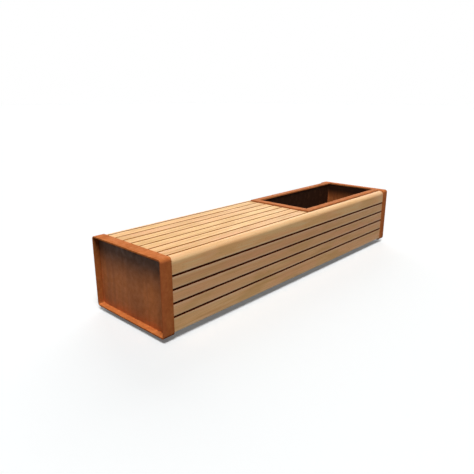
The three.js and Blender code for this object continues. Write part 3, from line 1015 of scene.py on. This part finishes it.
def makeStem(name, node):
    # the thread winds up the bar as one helix: each ring of points lies a step further up it
    low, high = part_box(node)
    cx, cy = (low.x + high.x) / 2, (low.y + high.y) / 2
    sides, pitch = feet["stemSides"], feet["pitch"]
    turns = int((high.z - low.z) / pitch)
    points = []
    for turn in range(turns + 1):
        for share, depth in feet["threadProfile"]:
            ring = circleOutline(feet["threadRadius"] - depth * feet["threadDepth"], sides)
            for k, ((u, v), _) in enumerate(ring):
                rise = (turn + share + k / sides) * pitch
                points.append((cx + u, cy + v, min(max(low.z + rise - pitch, low.z), high.z)))
    mesh = outwardMesh(name, points, cappedFaces(len(points) // sides, sides), sharpAngle=30)
    addPiece(name, mesh, zincMaterial, "bench", [node])


def hexMesh(name, centre, across, height, chamfer, axis="z", sign=1):
    # a hexagonal head or nut whose corners are chamfered by a cone, as on a real one
    sides = hexHead["sides"]
    heights = [0.0, chamfer, height - chamfer, height]
    shrinks = [chamfer * hexHead["cone"], 0.0, 0.0, chamfer * hexHead["cone"]]
    points = []
    for along, shrink in zip(heights, shrinks):
        for k in range(sides):
            angle = 2 * math.pi * k / sides
            flat = across / 2 / math.cos((angle + math.pi / 6) % (math.pi / 3) - math.pi / 6)
            radius = min(flat, across / math.sqrt(3) - shrink)
            u, v = radius * math.cos(angle), radius * math.sin(angle)
            du, dv, dw = alongAxis(axis, sign * along, u, v)
            points.append((centre[0] + du, centre[1] + dv, centre[2] + dw))
    return outwardMesh(name, points, cappedFaces(len(heights), sides), sharpAngle=25)


def makeLockNut(name, node):
    low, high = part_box(node)
    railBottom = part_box("front_rail")[0].z
    centre = ((low.x + high.x) / 2, (low.y + high.y) / 2, railBottom - feet["nutGap"] - feet["nutHeight"])
    mesh = hexMesh(name, centre, feet["nutAcross"], feet["nutHeight"], feet["nutChamfer"])
    addPiece(name, mesh, zincMaterial, "bench")


for k in range(feet["count"]):
    makePad(f"footPad{k + 1}", f"foot_pad_{k + 1}")
    makeStem(f"footStem{k + 1}", f"foot_stem_{k + 1}")
    makeLockNut(f"lockNut{k + 1}", f"foot_stem_{k + 1}")
print("feet made:", feet["count"])


# Weld beads: round the ends of the cross bars and rails, and inside the feet of the posts

welds = {
    "radius": 0.0026,
    "ripple": 0.0022,
    "rippleDepth": 0.0004,
    "taperShare": 0.6,
    "sides": 10,
    "cornerGap": 0.004,
}


def weldBead(start, end, centre, axis):
    # a rippled bar that tapers at both ends
    taper = welds["radius"] * welds["taperShare"]
    count = 2 * round((end - start) / welds["ripple"])
    ripples = [(start + (end - start) * k / count, welds["rippleDepth"] * (k % 2)) for k in range(1, count)]
    outline = circleOutline(welds["radius"], welds["sides"])
    return movedBar("bead", outline, centre, [(start, taper), *ripples, (end, taper)], axis)


def weldRound(name, node, axis, sign):
    # four beads round the end of a tube that lies along the axis
    low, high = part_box(node)
    gap = welds["cornerGap"]
    beads = []
    if axis == "y":
        y = high.y if sign > 0 else low.y
        beads += [weldBead(low.x + gap, high.x - gap, (0, y, z), "x") for z in (low.z, high.z)]
        beads += [weldBead(low.z + gap, high.z - gap, (x, y, 0), "z") for x in (low.x, high.x)]
    else:
        x = high.x if sign > 0 else low.x
        beads += [weldBead(low.y + gap, high.y - gap, (x, 0, z), "y") for z in (low.z, high.z)]
        beads += [weldBead(low.z + gap, high.z - gap, (x, y, 0), "z") for y in (low.y, high.y)]
    addPiece(name, joinMeshes(name, beads), weldMaterial, "bench")


def weldFoot(name, node, side):
    low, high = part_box(node)
    plate = steelFrame["anglePlate"]
    plateY = low.y + plate if side == "front" else high.y - plate
    startY, endY = (plateY, high.y) if side == "front" else (low.y, plateY)
    beads = [weldBead(low.x + plate, high.x, (0, plateY, low.z), "x"),
             weldBead(startY, endY, (low.x + plate, 0, low.z), "y")]
    addPiece(name, joinMeshes(name, beads), weldMaterial, "bench")


for k in range(steelFrame["crossBars"]):
    weldRound(f"crossBarWeld{k + 1}a", f"cross_bar_{k + 1}", "y", -1)
    weldRound(f"crossBarWeld{k + 1}b", f"cross_bar_{k + 1}", "y", 1)
for side in ("front", "back"):
    weldRound(side + "RailWeldNear", side + "_rail", "x", -1)
    weldRound(side + "RailWeldFar", side + "_rail", "x", 1)
    for k in range(steelFrame["postsPerSide"]):
        weldFoot(f"{side}PostWeld{k + 1}", f"{side}_post_{k + 1}", side)
print("weld beads made: 24")


# Coach screws: hexagon heads on washers, in the holes of the posts and top bars

screws = {
    "across": 0.013,
    "headHeight": 0.0055,
    "chamfer": 0.0009,
    "washerRadius": 0.010,
    "washer": 0.0016,
    "washerSides": 32,
    "shankRadius": 0.004,
    "shankLength": 0.018,
    "shankSides": 16,
    "edge": 0.0003,
    "dropLow": 0.015,
    "riseCorner": 0.030,
    "offset": 0.0025,
}


def makeScrew(name, seat, axis, sign):
    # seat is the middle of the hole on the plate's inner face; sign says which way the head points
    washerTop = sign * screws["washer"]
    shankEnd = -sign * (steelFrame["anglePlate"] + screws["shankLength"])
    low, high = sorted((0.0, washerTop))
    washerOutline = circleOutline(screws["washerRadius"], screws["washerSides"])
    washer = movedBar("washer", washerOutline, seat, roundedEnds(low, high, screws["edge"], 2), axis)
    headSeat = Vector(seat) + Vector(alongAxis(axis, washerTop, 0, 0))
    head = hexMesh("head", headSeat, screws["across"], screws["headHeight"], screws["chamfer"], axis, sign)
    low, high = sorted((washerTop, shankEnd))
    shankOutline = circleOutline(screws["shankRadius"], screws["shankSides"])
    shank = movedBar("shank", shankOutline, seat, roundedEnds(low, high, screws["edge"], 2), axis)
    mesh = joinMeshes(name, [washer, head, shank])
    addPiece(name, mesh, zincMaterial, "bench")


def boardScrewHeights(side):
    heights = []
    for row in boards["sideTones"]:
        low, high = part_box(f"{side}_{row}")
        if row == "low_board":
            heights.append(high.z - screws["dropLow"])
        elif row == "corner_board":
            heights.append(low.z + screws["riseCorner"])
        else:
            heights.append((low.z + high.z) / 2)
    return heights


screwCount = 0
for side, sign in (("front", 1), ("back", -1)):
    for k in range(steelFrame["postsPerSide"]):
        low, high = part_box(f"{side}_post_{k + 1}")
        seatY = low.y + steelFrame["anglePlate"] if side == "front" else high.y - steelFrame["anglePlate"]
        for row, z in enumerate(boardScrewHeights(side)):
            seat = ((low.x + high.x) / 2 + screws["offset"], seatY, z)
            makeScrew(f"{side}Screw{k + 1}x{row + 1}", seat, "y", sign)
            screwCount += 1
for k in range(steelFrame["topBars"]):
    low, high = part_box(f"top_bar_{k + 1}")
    for row in range(len(boards["slatTones"])):
        slatLow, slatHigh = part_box(f"top_slat_{row + 1}")
        seat = ((low.x + high.x) / 2 + screws["offset"], (slatLow.y + slatHigh.y) / 2,
                high.z - steelFrame["anglePlate"])
        makeScrew(f"slatScrew{k + 1}x{row + 1}", seat, "z", -1)
        screwCount += 1
print("coach screws made:", screwCount)


# Drain spouts, midway between the bars that carry the trough

def bearerMiddles():
    boxes = [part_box(f"rubber_strip_{k + 1}") for k in range(steelFrame["rubberStrips"])]
    middles = [(low.x + high.x) / 2 for low, high in boxes]
    return [(first + second) / 2 for first, second in zip(middles, middles[1:])]


troughLow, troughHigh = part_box("planter_trough")
spoutReach = (troughHigh.y - planterTrough["flange"] - planterTrough["wall"]) / 2
for k, x in enumerate(bearerMiddles()):
    for y in (-spoutReach, spoutReach):
        makeSpout(f"drainSpout{k + 1}{'a' if y < 0 else 'b'}", x, y,
                  troughLow.z + planterTrough["spoutLength"], planterTrough)
print("drain spouts made: 4")


# Floor, lamps, world and camera

stageLook = {
    "floorSize": 80.0,
    "floorColour": (0.978, 0.996, 1.0),
    "floorBounce": (0.08, 0.08, 0.08),
    "floorGlow": 0.12,
    "skyLight": 0.073,
    "sunSlope": (0.29, 0.33),
    "sunStrength": 2.81,
    "sunAngle": 24.0,
    "fillStrength": 0.99,
    "fillWay": (-0.7071, -0.7071),
    "fillElevation": 25.0,
    "fillAngle": 50.0,
}


def seenDirectly(add):
    path = add("ShaderNodeLightPath").outputs
    seen = mathNode(add, "MAXIMUM", path["Is Camera Ray"], path["Is Glossy Ray"])
    return mathNode(add, "MAXIMUM", seen, path["Is Transmission Ray"])


def makeFloor(look):
    material = newMaterial("paleFloor")
    add = graphOf(material)
    seen = seenDirectly(add)
    colour = blendColour(add, seen, opaque(look["floorBounce"]), opaque(look["floorColour"]))
    diffuse = add("ShaderNodeBsdfDiffuse", {"Color": colour})
    glow = add("ShaderNodeEmission", {"Color": (1, 1, 1, 1), "Strength": 1.0})
    share = mathNode(add, "MULTIPLY", seen, look["floorGlow"])
    mixed = add("ShaderNodeMixShader", {0: share, 1: diffuse.outputs[0], 2: glow.outputs[0]})
    add("ShaderNodeOutputMaterial", {"Surface": mixed.outputs[0]})
    size = look["floorSize"]
    corners = [(-size, -size, 0), (size, -size, 0), (size, size, 0), (-size, size, 0)]
    mesh = bpy.data.meshes.new("floor")
    mesh.from_pydata(corners, [], [(0, 1, 2, 3)])
    floor = bpy.data.objects.new("floor", mesh)
    mesh.materials.append(material)
    scene.collection.objects.link(floor)


def makeWorld(look):
    world = bpy.data.worlds.new("studio")
    world.use_nodes = True
    world.node_tree.nodes.clear()
    add = graphOf(world)
    ambient = add("ShaderNodeBackground", {"Color": (1, 1, 1, 1), "Strength": look["skyLight"]})
    white = add("ShaderNodeBackground", {"Color": (1, 1, 1, 1), "Strength": 1.0})
    mixed = add("ShaderNodeMixShader", {0: seenDirectly(add), 1: ambient.outputs[0], 2: white.outputs[0]})
    add("ShaderNodeOutputWorld", {"Surface": mixed.outputs[0]})
    scene.world = world


def makeSun(name, direction, strength, angle):
    data = bpy.data.lights.new(name, "SUN")
    data.energy = strength
    data.angle = math.radians(angle)
    lamp = bpy.data.objects.new(name, data)
    lamp.rotation_mode = "QUATERNION"
    lamp.rotation_quaternion = Vector(direction).to_track_quat("-Z", "Y")
    lamp.location = -3 * Vector(direction).normalized()
    scene.collection.objects.link(lamp)


makeFloor(stageLook)
makeWorld(stageLook)
slopeX, slopeY = stageLook["sunSlope"]
makeSun("overheadLamp", (slopeX, slopeY, -1.0), stageLook["sunStrength"], stageLook["sunAngle"])
fillRise = math.tan(math.radians(stageLook["fillElevation"]))
makeSun("backFill", (*stageLook["fillWay"], -fillRise), stageLook["fillStrength"], stageLook["fillAngle"])

camera = {
    "place": (-2.5205, -2.0162, 1.2185),
    "yaw": 42.710,
    "down": 16.802,
    "lens": 35.096,
    "sensor": 36.0,
    "clipEnd": 400.0,
}
cameraData = bpy.data.cameras.new("camera")
cameraData.lens = camera["lens"]
cameraData.sensor_width = camera["sensor"]
cameraData.clip_end = camera["clipEnd"]
cameraObject = bpy.data.objects.new("camera", cameraData)
cameraObject.location = camera["place"]
cameraObject.rotation_euler = (math.radians(90 - camera["down"]), 0, math.radians(camera["yaw"] - 90))
scene.collection.objects.link(cameraObject)
scene.camera = cameraObject
scene.view_settings.view_transform = "Standard"
print("stage set")
